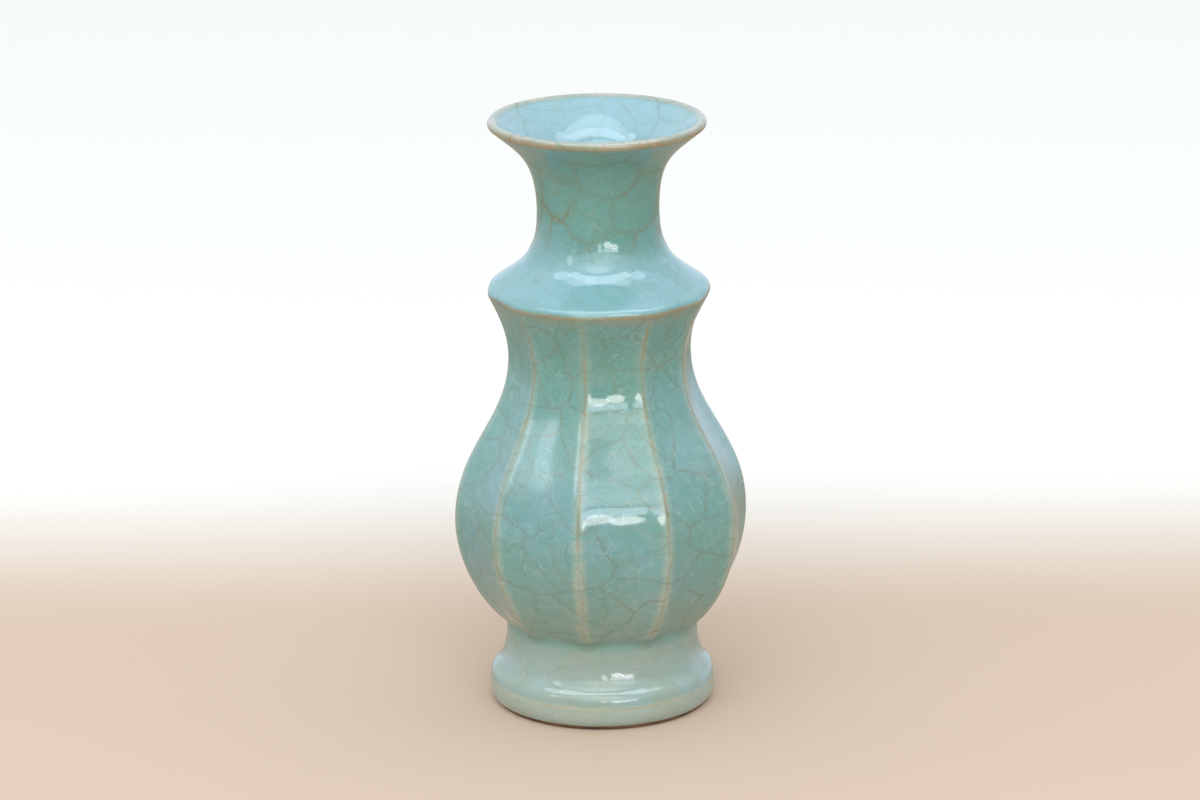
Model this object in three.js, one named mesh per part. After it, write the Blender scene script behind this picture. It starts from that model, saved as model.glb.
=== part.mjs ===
// Celadon vase with ten shallow flutes, 305 mm tall, standing on the plane z = 0 with its axis on Z.
// Its clay is thrown in sections, luted together with slip at flat joints, and glazed in two coats.
import * as THREE from 'three';

// Heights of the finished outside in millimetres, each measured from the ring below it
const FOOT_BAND_HEIGHT = 12.8;
const FOOT_FLARE_HEIGHT = 12.1;
const FOOT_STEM_HEIGHT = 17.1;
const LOWER_BODY_HEIGHT = 55.6;
const UPPER_BODY_HEIGHT = 85.9;
const COLLAR_HEIGHT = 32.1;
const NECK_HEIGHT = 42.4;
const MOUTH_HEIGHT = 44.7;

// Radii of the finished outside, taken on the ridges where there are flutes
const FOOT_RADIUS = 57.1;
const FOOT_BEND_RADIUS = 50.8;
const FOOT_WAIST_RADIUS = 48.4;
const BELLY_RADIUS = 75.2;
const COLLAR_RADIUS = 46.8;
const SHOULDER_RADIUS = 56.7;
const NECK_RADIUS = 30.9;
const MOUTH_RADIUS = 54.9;
const SHOULDER_EDGE_RADIUS = 1.6;
const SHOULDER_ROLL_RADIUS = 6;
const LIP_RADIUS = 2.3;

// Leans of the outside in degrees from upright, outwards on the way up
const FOOT_CREASE_LEAN = -14;
const FOOT_BEND_LEAN = -30;
const BODY_ROOT_LEAN = 59;
const SHOULDER_UNDERSIDE_LEAN = 25;
const SHOULDER_EDGE_LEAN = 20;
const SHOULDER_ROLL_LEAN = -22;
const SHOULDER_TOP_LEAN = -54;
const MOUTH_LEAN = 50;
const FLOOR_EDGE_LEAN = 65;

// How far each stretch of wall keeps to the lean of its lower and upper ring, as shares of its span
const FOOT_FLARE_PULL = [0.35, 0.35];
const FOOT_STEM_PULL = [0.12, 0.75];
const LOWER_BODY_PULL = [0.2, 0.38];
const UPPER_BODY_PULL = [0.385, 0.37];
const COLLAR_PULL = [0.385, 0.305];
const NECK_PULL = [0.36, 0.56];
const MOUTH_PULL = [0.55, 0.415];
const LOWER_BORE_PULL = [0.3, 0.4];
const COLLAR_BORE_PULL = [0.385, 0.35];
const NECK_BORE_PULL = [0.06, 0.62];

// Flutes: how many, and how far each is hollowed below the ridges beside it
const FLUTE_COUNT = 10;
const FLUTE_ROOT_DEPTH = 3.4;
const FLUTE_BELLY_DEPTH = 4.6;
const FLUTE_COLLAR_DEPTH = 2.6;
const FLUTE_SHOULDER_DEPTH = 0.5;
const FLUTE_INSIDE_DEPTH = 2.2;

// Clay walls, glaze and slip
const CLAY_WALL = 4;
const SHOULDER_WALL = 8.5;
const ROOT_WALL = 8.1;
const FOOT_WALL = 6.5;
const FOOT_RIM_WIDTH = 7.5;
const FOOT_CHAMFER = 1;
const LEDGE_THICKNESS = 6;
const BASE_THICKNESS = 6;
const BASE_LAP = 5;
const BASE_FIT = 0.3;
const GLAZE_THICKNESS = 0.8;
const GLAZE_BOND = 0.3;
const GLAZE_SEAM = 0.3;
const BARE_RIM = 1.5;
const SLIP_THICKNESS = 0.8;
const SLIP_INSET = 0.5;

// Facets round each flute, and steps along the stretches and arcs of the profile
const FACETS_PER_FLUTE = 4;
const FACETS_AROUND = FLUTE_COUNT * FACETS_PER_FLUTE;
const LONG_STEPS = 7;
const MIDDLE_STEPS = 5;
const SHORT_STEPS = 4;
const EDGE_STEPS = 2;
const LIP_STEPS = 4;

// Colours, roughness and metalness of the finishes
const BARE_CLAY = { color: 0x9a7a5c, roughness: 0.85, metalness: 0 };
const DRIED_SLIP = { color: 0xb59a7c, roughness: 0.9, metalness: 0 };
const CELADON = { color: 0x87b4ae, roughness: 0.12, metalness: 0 };

// Heights above the table of the rings that the sections meet at
const bandTop = FOOT_BAND_HEIGHT;
const bendHeight = bandTop + FOOT_FLARE_HEIGHT;
const footTop = bendHeight + FOOT_STEM_HEIGHT;
const bellyHeight = footTop + LOWER_BODY_HEIGHT;
const collarHeight = bellyHeight + UPPER_BODY_HEIGHT;
const shoulderHeight = collarHeight + COLLAR_HEIGHT;
const neckHeight = shoulderHeight + NECK_HEIGHT;
const lipHeight = neckHeight + MOUTH_HEIGHT;

// The glaze stands on the clay with a bond between them, and both coats are of one thickness
const coat = GLAZE_THICKNESS + GLAZE_BOND;
const wall = coat + CLAY_WALL + coat;
const halfSlip = SLIP_THICKNESS / 2;
const seatRadius = FOOT_WAIST_RADIUS - coat - ROOT_WALL;
const baseRadius = seatRadius - BASE_FIT;
const ledgeRadius = baseRadius - BASE_LAP;
const baseUnderside = footTop + halfSlip;
const baseTop = baseUnderside + BASE_THICKNESS;
const floorHeight = baseTop + coat;

const radians = THREE.MathUtils.degToRad;

// A ring of the profile, with the way the wall runs up through it
function ring(radius, height, lean = 0) {
  return {
    point: new THREE.Vector2(radius, height),
    upward: new THREE.Vector2(Math.sin(radians(lean)), Math.cos(radians(lean))),
  };
}

// A swept stretch of the profile between two rings
function stretch(low, high, [lowPull, highPull]) {
  const span = low.point.distanceTo(high.point);
  const lowHandle = low.point.clone().addScaledVector(low.upward, lowPull * span);
  const highHandle = high.point.clone().addScaledVector(high.upward, -highPull * span);
  return new THREE.CubicBezierCurve(low.point, lowHandle, highHandle, high.point);
}

// An arc of the profile about a centre, between two leans
function arc(centre, radius, startLean, endLean) {
  return new THREE.EllipseCurve(
    centre.x, centre.y, radius, radius, radians(-startLean), radians(-endLean), false,
  );
}

// A value that eases from station to station, given as [height, value] from the lowest up
function eased(stations, height) {
  const above = stations.findIndex(([station]) => station >= height);
  if (above === 0) return stations[0][1];
  if (above === -1) return stations.at(-1)[1];
  const [lowHeight, lowValue] = stations[above - 1];
  const [highHeight, highValue] = stations[above];
  const share = THREE.MathUtils.smoothstep(height, lowHeight, highHeight);
  return THREE.MathUtils.lerp(lowValue, highValue, share);
}

// Depth of the flutes at a ring outside; at their root they end on the stem of the foot
function outsideFlute({ x: radius, y: height }) {
  if (height <= footTop) return 0;
  const depth = eased([
    [footTop, FLUTE_ROOT_DEPTH],
    [bellyHeight, FLUTE_BELLY_DEPTH],
    [collarHeight, FLUTE_COLLAR_DEPTH],
    [shoulderHeight, FLUTE_SHOULDER_DEPTH],
    [shoulderHeight + 2 * SHOULDER_EDGE_RADIUS, 0],
  ], height);
  return height < bellyHeight ? Math.min(depth, radius - FOOT_WAIST_RADIUS) : depth;
}

// Depth of the flutes at a ring inside
function insideFlute({ y: height }) {
  return eased([
    [baseTop, 0],
    [bellyHeight, FLUTE_INSIDE_DEPTH],
    [collarHeight, 0],
  ], height);
}

// How far a point round the vase lies from the ridges: 0 on a ridge and 1 in the middle of a flute
function hollow(angle) {
  const flutes = (angle * FLUTE_COUNT) / (2 * Math.PI);
  const offset = 2 * (flutes - Math.round(flutes));
  return 1 - offset * offset;
}

// A spot of a section through the wall: its radius on a ridge, its height and the depth of flutes there
function spot(radius, height, flute = 0) {
  return { radius, height, flute };
}

function mix(from, to, share) {
  return spot(
    THREE.MathUtils.lerp(from.radius, to.radius, share),
    THREE.MathUtils.lerp(from.height, to.height, share),
    THREE.MathUtils.lerp(from.flute, to.flute, share),
  );
}

// Spots along curves that follow each other, given as [curve, steps]
function sample(curves, fluteAt) {
  const points = curves.flatMap(([curve, steps], order) => curve.getPoints(steps).slice(order ? 1 : 0));
  return points.map((point) => spot(point.x, point.y, fluteAt(point)));
}

// The same outline moved into the wall, which lies to the left of its way
function sunk(outline, depth) {
  const sides = outline.slice(1).map((next, i) => {
    const way = new THREE.Vector2(next.radius - outline[i].radius, next.height - outline[i].height);
    return new THREE.Vector2(-way.y, way.x).normalize();
  });
  return outline.map((here, i) => {
    const before = sides[Math.max(i - 1, 0)];
    const after = sides[Math.min(i, sides.length - 1)];
    const mitre = before.clone().add(after).normalize();
    const reach = depth / mitre.dot(before);
    return spot(here.radius + mitre.x * reach, here.height + mitre.y * reach, here.flute);
  });
}

// The spot where a rising outline reaches a height
function at(outline, height) {
  const next = Math.max(outline.findIndex((here) => here.height >= height), 1);
  const before = outline[next - 1];
  const after = outline[next];
  return mix(before, after, (height - before.height) / (after.height - before.height));
}

// The part of a rising outline above a height, and the part between two heights
function above(outline, low) {
  return [at(outline, low), ...outline.filter((here) => here.height > low)];
}

function between(outline, low, high) {
  const inner = outline.filter((here) => here.height > low && here.height < high);
  return [at(outline, low), ...inner, at(outline, high)];
}

// Rings of the outside
const footEdge = ring(FOOT_RADIUS, 0);
const footCrease = ring(FOOT_RADIUS, bandTop, FOOT_CREASE_LEAN);
const footBend = ring(FOOT_BEND_RADIUS, bendHeight, FOOT_BEND_LEAN);
const footWaist = ring(FOOT_WAIST_RADIUS, footTop);
const bodyRoot = ring(FOOT_WAIST_RADIUS, footTop, BODY_ROOT_LEAN);
const belly = ring(BELLY_RADIUS, bellyHeight);
const collar = ring(COLLAR_RADIUS, collarHeight);
const edgeCentre = new THREE.Vector2(
  SHOULDER_RADIUS - SHOULDER_EDGE_RADIUS,
  shoulderHeight + SHOULDER_EDGE_RADIUS * Math.sin(radians(SHOULDER_EDGE_LEAN)),
);
const shoulderEdge = arc(edgeCentre, SHOULDER_EDGE_RADIUS, SHOULDER_EDGE_LEAN, SHOULDER_ROLL_LEAN);
const edgeStart = shoulderEdge.getPoint(0);
const edgeEnd = shoulderEdge.getPoint(1);
const rollCentre = edgeEnd.clone().lerp(edgeCentre, SHOULDER_ROLL_RADIUS / SHOULDER_EDGE_RADIUS);
const shoulderRoll = arc(rollCentre, SHOULDER_ROLL_RADIUS, SHOULDER_ROLL_LEAN, SHOULDER_TOP_LEAN);
const rollEnd = shoulderRoll.getPoint(1);
const shoulderUnderside = ring(edgeStart.x, edgeStart.y, SHOULDER_UNDERSIDE_LEAN);
const shoulderTop = ring(rollEnd.x, rollEnd.y, SHOULDER_TOP_LEAN);
const neck = ring(NECK_RADIUS, neckHeight);
const lipCentre = new THREE.Vector2(MOUTH_RADIUS - LIP_RADIUS, lipHeight);
const lip = arc(lipCentre, LIP_RADIUS, MOUTH_LEAN, MOUTH_LEAN - 180);
const lipStart = lip.getPoint(0);
const lipEnd = lip.getPoint(1);
const mouthOutside = ring(lipStart.x, lipStart.y, MOUTH_LEAN);

// Rings of the inside: each follows the outside at its height by the walls between them
const mouthInside = ring(lipEnd.x, lipEnd.y, MOUTH_LEAN);
const neckBore = ring(NECK_RADIUS - wall, neckHeight);
const shoulderBore = ring(SHOULDER_RADIUS - coat - SHOULDER_WALL - coat, shoulderHeight);
const collarBore = ring(COLLAR_RADIUS - FLUTE_COLLAR_DEPTH - wall, collarHeight);
const bellyBore = ring(BELLY_RADIUS - FLUTE_BELLY_DEPTH - wall + FLUTE_INSIDE_DEPTH, bellyHeight);
const floorEdge = ring(seatRadius, floorHeight, FLOOR_EDGE_LEAN);

// The finished surface in one run: up the outside, over the lip, down the inside and in to the axis
const outside = sample([
  [new THREE.LineCurve(footEdge.point, footCrease.point), 1],
  [stretch(footCrease, footBend, FOOT_FLARE_PULL), EDGE_STEPS],
  [stretch(footBend, footWaist, FOOT_STEM_PULL), SHORT_STEPS],
  [stretch(bodyRoot, belly, LOWER_BODY_PULL), LONG_STEPS],
  [stretch(belly, collar, UPPER_BODY_PULL), LONG_STEPS],
  [stretch(collar, shoulderUnderside, COLLAR_PULL), SHORT_STEPS],
  [shoulderEdge, EDGE_STEPS],
  [shoulderRoll, EDGE_STEPS],
  [stretch(shoulderTop, neck, NECK_PULL), MIDDLE_STEPS],
  [stretch(neck, mouthOutside, MOUTH_PULL), MIDDLE_STEPS],
  [lip, LIP_STEPS],
], outsideFlute);
const inside = sample([
  [stretch(floorEdge, bellyBore, LOWER_BORE_PULL), SHORT_STEPS],
  [stretch(bellyBore, collarBore, UPPER_BODY_PULL), MIDDLE_STEPS],
  [stretch(collarBore, shoulderBore, COLLAR_BORE_PULL), SHORT_STEPS],
  [stretch(shoulderBore, neckBore, NECK_BORE_PULL), MIDDLE_STEPS],
  [stretch(neckBore, mouthInside, MOUTH_PULL), MIDDLE_STEPS],
], insideFlute).reverse();
const seam = outside.length - 1;
const surface = [...outside, ...inside.slice(1), spot(0, floorHeight)];
const glazeBack = sunk(surface, GLAZE_THICKNESS);
const clay = sunk(surface, coat);

// The clay's two faces, both from the bottom up; they part at the crown of the lip
const crown = seam - 1;
const clayOutside = clay.slice(0, crown);
const clayInside = clay.slice(crown, -1).reverse();

const vase = new THREE.Group();
vase.name = 'celadon_vase';

// Presses each spot's flutes into a turned section, between the ridges
function pressFlutes(geometry, section) {
  const { position } = geometry.attributes;
  for (let i = 0; i < position.count; i += 1) {
    const { radius, flute } = section[i % section.length];
    const angle = (2 * Math.PI * Math.floor(i / section.length)) / FACETS_AROUND;
    const share = flute ? 1 - (flute * hollow(angle)) / radius : 1;
    position.setX(i, position.getX(i) * share);
    position.setZ(i, position.getZ(i) * share);
  }
}

// Splits the quads that run down a section along the other diagonal, as those that run up it lie,
// so that the fluted faces of clay and glaze stay parallel
function matchDiagonals(geometry, section) {
  const { index } = geometry;
  const cornersPerQuad = 6;
  const steps = section.length - 1;
  for (let first = 0; first < index.count; first += cornersPerQuad) {
    const step = (first / cornersPerQuad) % steps;
    if (section[step + 1].height < section[step].height) {
      index.setX(first + 2, index.getX(first + 3));
      index.setX(first + 5, index.getX(first));
    }
  }
}

// A turned piece: its section goes round the axis
function turn(name, section, finish) {
  const profile = section.map(({ radius, height }) => new THREE.Vector2(radius, height));
  const geometry = new THREE.LatheGeometry(profile, FACETS_AROUND);
  pressFlutes(geometry, section);
  matchDiagonals(geometry, section);
  geometry.rotateX(Math.PI / 2);
  geometry.computeVertexNormals();
  const mesh = new THREE.Mesh(geometry, new THREE.MeshStandardMaterial(finish));
  mesh.name = name;
  vase.add(mesh);
}

// A ring-shaped piece between an outer face and an inner face, both given from the bottom up
function turnRing(name, outerFace, innerFace, finish) {
  turn(name, [...outerFace, ...innerFace.toReversed(), outerFace[0]], finish);
}

// A clay section of the body between two joints
function turnSection(name, low, high) {
  turnRing(name, between(clayOutside, low, high), between(clayInside, low, high), BARE_CLAY);
}

// A ring of slip in a joint, set in a little from the faces of the clay
function turnSlip(name, height, outer, inner) {
  const low = height - halfSlip;
  const high = height + halfSlip;
  const outerRadius = outer.radius - SLIP_INSET;
  const innerRadius = inner.radius + SLIP_INSET;
  turnRing(
    name,
    [spot(outerRadius, low, outer.flute), spot(outerRadius, high, outer.flute)],
    [spot(innerRadius, low, inner.flute), spot(innerRadius, high, inner.flute)],
    DRIED_SLIP,
  );
}

function turnBodySlip(name, height) {
  turnSlip(name, height, at(clayOutside, height), at(clayInside, height));
}

// Foot: a splayed ring, bare and chamfered where it stands, hollow below, with a ledge for the base
const footClayRadius = FOOT_RADIUS - coat;
const footJoint = footTop - halfSlip;
const ledgeUnderside = footJoint - LEDGE_THICKNESS;
turnRing(
  'foot',
  [spot(footClayRadius - FOOT_CHAMFER, 0), ...between(clayOutside, FOOT_CHAMFER, footJoint)],
  [
    spot(footClayRadius - FOOT_RIM_WIDTH, 0),
    spot(FOOT_WAIST_RADIUS - coat - FOOT_WALL, ledgeUnderside),
    spot(ledgeRadius, ledgeUnderside),
    spot(ledgeRadius, footJoint),
  ],
  BARE_CLAY,
);

// Base: a flat disc dropped in from above, lying on the ledge of the foot
turn('base_disc', [
  spot(0, baseUnderside),
  spot(baseRadius, baseUnderside),
  spot(baseRadius, baseTop),
  spot(0, baseTop),
], BARE_CLAY);

// Body: the lower half closes round the base, and the upper half carries the shoulder
turnRing(
  'lower_body',
  between(clayOutside, footTop + halfSlip, bellyHeight - halfSlip),
  [spot(seatRadius, baseUnderside), spot(seatRadius, baseTop),
    ...between(clayInside, baseTop, bellyHeight - halfSlip)],
  BARE_CLAY,
);
turnSection('upper_body', bellyHeight + halfSlip, shoulderHeight - halfSlip);
turnSection('shoulder', shoulderHeight + halfSlip, neckHeight - halfSlip);

// Mouth: the trumpet above the narrowest ring of the neck, up to its rounded lip
turnRing(
  'mouth',
  above(clayOutside, neckHeight + halfSlip),
  above(clayInside, neckHeight + halfSlip),
  BARE_CLAY,
);

// Slip in the joints
turnSlip('foot_slip', footTop, at(clayOutside, footTop), spot(seatRadius, footTop));
turnSlip('base_slip', footTop, spot(baseRadius, footTop), spot(ledgeRadius, footTop));
turnBodySlip('belly_slip', bellyHeight);
turnBodySlip('shoulder_slip', shoulderHeight);
turnBodySlip('neck_slip', neckHeight);

// Outer glaze: from just above the bare rim of the foot to the inner edge of the lip
turnRing(
  'outer_glaze',
  above(surface.slice(0, seam + 1), BARE_RIM),
  above(glazeBack.slice(0, seam + 1), BARE_RIM),
  CELADON,
);

// Inner glaze: poured inside, from the lip down over the floor, with a hairline where the coats meet
function fromSeam(outline) {
  const start = outline[seam];
  const next = outline[seam + 1];
  const distance = Math.hypot(next.radius - start.radius, next.height - start.height);
  return [mix(start, next, GLAZE_SEAM / distance), ...outline.slice(seam + 1)];
}
turn('inner_glaze', [...fromSeam(glazeBack).reverse(), ...fromSeam(surface)], CELADON);

export default vase;
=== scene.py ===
"""A fluted celadon vase: crackled glaze over turned clay, standing on a plain pale floor."""

import math
from collections import namedtuple

import bmesh
import bpy
from mathutils import Color, Matrix, Vector, geometry, noise


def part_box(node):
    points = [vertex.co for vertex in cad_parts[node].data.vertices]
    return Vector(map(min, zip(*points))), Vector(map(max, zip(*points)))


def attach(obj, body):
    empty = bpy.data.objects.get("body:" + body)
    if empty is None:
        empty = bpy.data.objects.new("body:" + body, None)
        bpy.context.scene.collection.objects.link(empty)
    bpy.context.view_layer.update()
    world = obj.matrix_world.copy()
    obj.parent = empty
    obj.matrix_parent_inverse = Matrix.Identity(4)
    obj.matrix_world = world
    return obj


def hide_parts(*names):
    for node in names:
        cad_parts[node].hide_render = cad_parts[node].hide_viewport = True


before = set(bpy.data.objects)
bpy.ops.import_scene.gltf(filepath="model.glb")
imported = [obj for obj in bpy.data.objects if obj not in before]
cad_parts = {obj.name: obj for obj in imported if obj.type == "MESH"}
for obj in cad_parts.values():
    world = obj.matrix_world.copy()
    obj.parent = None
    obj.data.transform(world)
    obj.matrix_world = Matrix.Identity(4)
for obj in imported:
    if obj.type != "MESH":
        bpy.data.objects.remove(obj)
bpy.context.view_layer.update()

MM = 0.001

# How far the finished outside stands off the clay, in general and on the foot
COAT = 1.1 * MM
FOOT_COAT = 1.7 * MM

# Small distances in the wall: slip in from the clay's face, glaze's back under its face, fit of the base
SLIP_INSET = 0.5 * MM
GLAZE_BACK = 0.6 * MM
BASE_FIT = 0.3 * MM

# Points nearer than the weld are one, and points nearer to the axis than its reach stay there
WELD = 0.0001 * MM
AXIS_REACH = 1.0 * MM


def joint_height(below, above):
    """The height of the joint between two sections of clay."""
    return (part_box(below)[1].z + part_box(above)[0].z) / 2


def slip_radius(name):
    """The radius of the finished outside at a joint."""
    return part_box(name)[1].x + SLIP_INSET + COAT


# Heights and radii of the finished outside, from the frame
foot_top = joint_height("foot", "lower_body")
belly_height = joint_height("lower_body", "upper_body")
shoulder_height = joint_height("upper_body", "shoulder")
neck_height = joint_height("shoulder", "mouth")
top_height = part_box("outer_glaze")[1].z
floor_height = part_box("base_disc")[1].z + COAT
foot_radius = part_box("foot")[1].x + FOOT_COAT
waist_radius = slip_radius("foot_slip")
belly_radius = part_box("outer_glaze")[1].x
shoulder_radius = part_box("shoulder")[1].x + COAT
neck_radius = slip_radius("neck_slip")
mouth_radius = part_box("mouth")[1].x + COAT
seat_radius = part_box("base_disc")[1].x + BASE_FIT

# Sizes of the outside that no box gives
GLAZE_EDGE = 1.6 * MM
FOOT_EDGE_INSET = 2.4 * MM
BAND_HEIGHT = 11.7 * MM
BAND_SWELL = 0.4 * MM
BAND_LOWER_PULL = 2.0 * MM
BAND_UPPER_PULL = 3.5 * MM
CREASE_INSET = 0.1 * MM
FLARE_RADIUS = 54.4 * MM
FLARE_HEIGHT = 19.3 * MM
COLLAR_HEIGHT = 183.5 * MM
COLLAR_RADIUS = 46.8 * MM
SHOULDER_EDGE_RADIUS = 1.3 * MM
SHOULDER_ROLL_RADIUS = 6.0 * MM
LIP_RADIUS = 2.3 * MM
ROOT_FILLET = 3.0 * MM

# Leans of the outside in degrees from upright, outwards on the way up, and how far the lip turns over
CREASE_LEAN = -13
FLARE_LEAN = -45
WAIST_LEAN = -6
BODY_ROOT_LEAN = 59
SHOULDER_UNDERSIDE_LEAN = 25
SHOULDER_EDGE_LEAN = 20
SHOULDER_ROLL_LEAN = -12
SHOULDER_TOP_LEAN = -54
MOUTH_LEAN = 50
FLOOR_EDGE_LEAN = 65
LIP_TURN = 180

# Radii of the inside at the same rings
NECK_BORE = 24.7 * MM
SHOULDER_BORE = 46.0 * MM
COLLAR_BORE = 38.0 * MM
BELLY_BORE = 66.6 * MM

# How long each swept stretch keeps the lean of its lower and its upper ring, as shares of its length
FLARE_PULLS = (0.45, 0.5)
FOOT_PULLS = (0.31, 0.28)
BELLY_PULLS = (0.2, 0.39)
COLLAR_PULLS = (0.44, 0.37)
SHOULDER_PULLS = (0.385, 0.305)
NECK_PULLS = (0.36, 0.56)
MOUTH_PULLS = (0.55, 0.415)
BELLY_BORE_PULLS = (0.3, 0.4)
COLLAR_BORE_PULLS = (0.385, 0.37)
SHOULDER_BORE_PULLS = (0.385, 0.35)
NECK_BORE_PULLS = (0.06, 0.62)

# Flutes: how many, how round their ridges are, where they run out, and how deep they are at each height
FLUTE_COUNT = 10
RIDGE_SOFTNESS = 2.3 * MM
RIDGE_CROWDING = 0.5
FLUTE_FADE = 4 * MM
OUTSIDE_FLUTES = [
    (foot_top, 3.4 * MM),
    (belly_height, 4.7 * MM),
    (COLLAR_HEIGHT, 2.7 * MM),
    (shoulder_height, 0.9 * MM),
    (shoulder_height + FLUTE_FADE, 0.0),
]
INSIDE_FLUTES = [
    (floor_height, 0.0),
    (belly_height, 2.2 * MM),
    (COLLAR_HEIGHT, 0.0),
]

# Unevenness of hand-thrown clay: an oval and three lobes that twist up the wall, a ripple and fuller sides
SHRUNK = 0.25 * MM
OVAL = 0.15 * MM
OVAL_TURN = 0.8
OVAL_TWIST = 9.0
THREE_LOBE = 0.1 * MM
LOBE_TURN = -0.4
LOBE_TWIST = -14.0
RIPPLE = 0.12 * MM
RIPPLE_SCALE = 38.0
FULL_WIDTH = math.radians(48)
FULL_REACH = 22 * MM
FULL_SIDES = [
    (1.1 * MM, math.radians(72), 64 * MM),
    (0.9 * MM, math.radians(-99), 288 * MM),
]

# Steps round the axis and along the profile
GLAZE_STEPS = 300
CLAY_STEPS = 160
FINE_STEP = 1.3 * MM
OUTSIDE_STEP = 2.2 * MM
INSIDE_STEP = 6.0 * MM
LEAST_POINTS = 3
EDGE_STEPS = 5
LIP_STEPS = 14
BACK_STRIDE = 6


def ring(radius, height, lean=0.0):
    """A ring of the profile, with the way the wall runs up through it."""
    angle = math.radians(lean)
    return Vector((radius, 0.0, height)), Vector((math.sin(angle), 0.0, math.cos(angle)))


def stretch(low, high, pulls, step):
    """Points along a swept stretch of the profile between two rings."""
    low_point, low_way = low
    high_point, high_way = high
    span = (high_point - low_point).length
    return geometry.interpolate_bezier(
        low_point,
        low_point + low_way * pulls[0] * span,
        high_point - high_way * pulls[1] * span,
        high_point,
        max(LEAST_POINTS, round(span / step) + 1),
    )


def arc(centre, radius, start_lean, end_lean, steps):
    """Points along an arc of the profile between two leans."""
    points = []
    for step in range(steps + 1):
        angle = -math.radians(start_lean + (end_lean - start_lean) * step / steps)
        points.append(centre + Vector((math.cos(angle), 0.0, math.sin(angle))) * radius)
    return points


def joined(*runs):
    """Runs of points that follow each other, each starting where the last ended."""
    points = list(runs[0])
    for run in runs[1:]:
        points.extend(run[1:])
    return points


def eased(stations, height):
    """A value that eases from station to station, given as (height, value) from the lowest up."""
    if height <= stations[0][0]:
        return stations[0][1]
    for (low, low_value), (high, high_value) in zip(stations, stations[1:]):
        if height <= high:
            share = (height - low) / (high - low)
            return low_value + (high_value - low_value) * share * share * (3 - 2 * share)
    return stations[-1][1]


# Rings of the outside
crease = ring(foot_radius - CREASE_INSET, BAND_HEIGHT, CREASE_LEAN)
flare = ring(FLARE_RADIUS, FLARE_HEIGHT, FLARE_LEAN)
foot_waist = ring(waist_radius, foot_top, WAIST_LEAN)
body_root = ring(waist_radius, foot_top, BODY_ROOT_LEAN)
belly = ring(belly_radius, belly_height)
collar = ring(COLLAR_RADIUS, COLLAR_HEIGHT)
edge_centre = Vector((
    shoulder_radius - SHOULDER_EDGE_RADIUS,
    0.0,
    shoulder_height + SHOULDER_EDGE_RADIUS * math.sin(math.radians(SHOULDER_EDGE_LEAN)),
))
shoulder_edge = arc(edge_centre, SHOULDER_EDGE_RADIUS, SHOULDER_EDGE_LEAN, SHOULDER_ROLL_LEAN, EDGE_STEPS)
shoulder_underside = ring(shoulder_edge[0].x, shoulder_edge[0].z, SHOULDER_UNDERSIDE_LEAN)
roll_centre = shoulder_edge[-1].lerp(edge_centre, SHOULDER_ROLL_RADIUS / SHOULDER_EDGE_RADIUS)
shoulder_roll = arc(
    roll_centre, SHOULDER_ROLL_RADIUS, SHOULDER_ROLL_LEAN, SHOULDER_TOP_LEAN, 2 * EDGE_STEPS)
shoulder_top = ring(shoulder_roll[-1].x, shoulder_roll[-1].z, SHOULDER_TOP_LEAN)
neck = ring(neck_radius, neck_height)
lip_centre = Vector((mouth_radius - LIP_RADIUS, 0.0, top_height - LIP_RADIUS))
lip = arc(lip_centre, LIP_RADIUS, MOUTH_LEAN, MOUTH_LEAN - LIP_TURN, LIP_STEPS)

# Runs of the outside: the foot up to its waist, the fluted belly, and the rest up to the lip
foot_band = geometry.interpolate_bezier(
    Vector((foot_radius - FOOT_EDGE_INSET, 0.0, GLAZE_EDGE)),
    Vector((foot_radius + BAND_SWELL, 0.0, GLAZE_EDGE + BAND_LOWER_PULL)),
    Vector((foot_radius + BAND_SWELL, 0.0, BAND_HEIGHT - BAND_UPPER_PULL)),
    crease[0],
    2 * EDGE_STEPS,
)
foot_run = joined(
    foot_band,
    stretch(crease, flare, FLARE_PULLS, FINE_STEP / 2),
    stretch(flare, foot_waist, FOOT_PULLS, FINE_STEP),
)
belly_run = stretch(body_root, belly, BELLY_PULLS, FINE_STEP)
upper_run = joined(
    stretch(belly, collar, COLLAR_PULLS, OUTSIDE_STEP),
    stretch(collar, shoulder_underside, SHOULDER_PULLS, OUTSIDE_STEP),
    shoulder_edge,
    shoulder_roll,
    stretch(shoulder_top, neck, NECK_PULLS, OUTSIDE_STEP),
    stretch(neck, ring(lip[0].x, lip[0].z, MOUTH_LEAN), MOUTH_PULLS, OUTSIDE_STEP),
    lip,
)

# Rings and runs of the inside, from the floor up
floor_edge = ring(seat_radius, floor_height, FLOOR_EDGE_LEAN)
belly_bore = ring(BELLY_BORE, belly_height)
collar_bore = ring(COLLAR_BORE, COLLAR_HEIGHT)
shoulder_bore = ring(SHOULDER_BORE, shoulder_height)
neck_bore = ring(NECK_BORE, neck_height)
inside_run = joined(
    [Vector((0.0, 0.0, floor_height)), floor_edge[0]],
    stretch(floor_edge, belly_bore, BELLY_BORE_PULLS, INSIDE_STEP),
    stretch(belly_bore, collar_bore, COLLAR_BORE_PULLS, INSIDE_STEP),
    stretch(collar_bore, shoulder_bore, SHOULDER_BORE_PULLS, INSIDE_STEP),
    stretch(shoulder_bore, neck_bore, NECK_BORE_PULLS, 2 * OUTSIDE_STEP),
    stretch(neck_bore, ring(lip[-1].x, lip[-1].z, MOUTH_LEAN), MOUTH_PULLS, OUTSIDE_STEP),
)

# A row of a turned surface: ridge radius, height, flute depth, least radius, run along it, and if inside
Row = namedtuple("Row", "radius height depth least run inside")


def reach(row):
    """How far out a row's surface lies on a ridge."""
    return max(row.radius, row.least)


def plain(points):
    """Rows of a profile without flutes."""
    return [Row(point.x, point.z, 0.0, 0.0, 0.0, 0.0) for point in points]


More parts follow.
